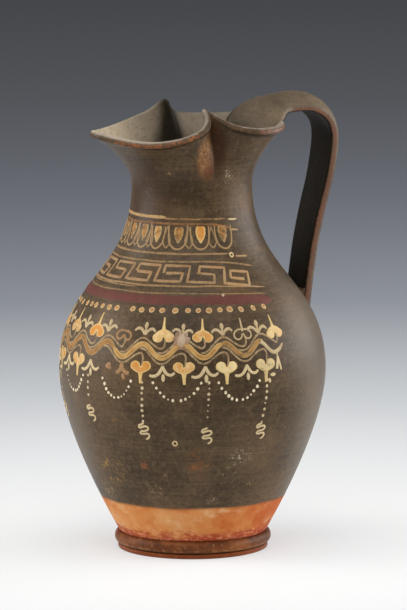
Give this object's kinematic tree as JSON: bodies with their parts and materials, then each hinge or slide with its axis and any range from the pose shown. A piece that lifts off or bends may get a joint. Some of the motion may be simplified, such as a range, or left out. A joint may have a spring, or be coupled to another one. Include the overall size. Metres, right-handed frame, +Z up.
{
  "type": "oinochoe",
  "caption": "Wine jug of fired clay with a pinched trefoil mouth, a high strap handle, an ovoid body, a ring foot and slip-painted bands.",
  "frame": {"origin": "middle of the space that the jug takes, on the surface that it stands on; the jug's own axis stands 6.9 mm towards -X of it", "axes": "+Z up along the jug's axis, +X towards the handle, -X towards the pouring lobe, +Y to the left of the handle seen from behind it"},
  "size_m": [0.1526, 0.1388, 0.2359],
  "materials": {
    "black_gloss": "worn brown-black slip gloss on fired clay, satin, with painted bands in cream, orange yellow and dull red",
    "foot_slip_coat": "thin red-brown slip on fired clay, satin",
    "bare_clay": "matt orange fired clay"
  },
  "bodies": {
    "root": {"foot_ring": "foot_slip_coat", "foot_slip": "bare_clay", "body": "black_gloss", "neck_slip": "bare_clay", "neck_and_mouth": "black_gloss", "strap_handle": "black_gloss", "lower_handle_luting": "black_gloss", "upper_handle_luting": "black_gloss"}
  },
  "joints": []
}
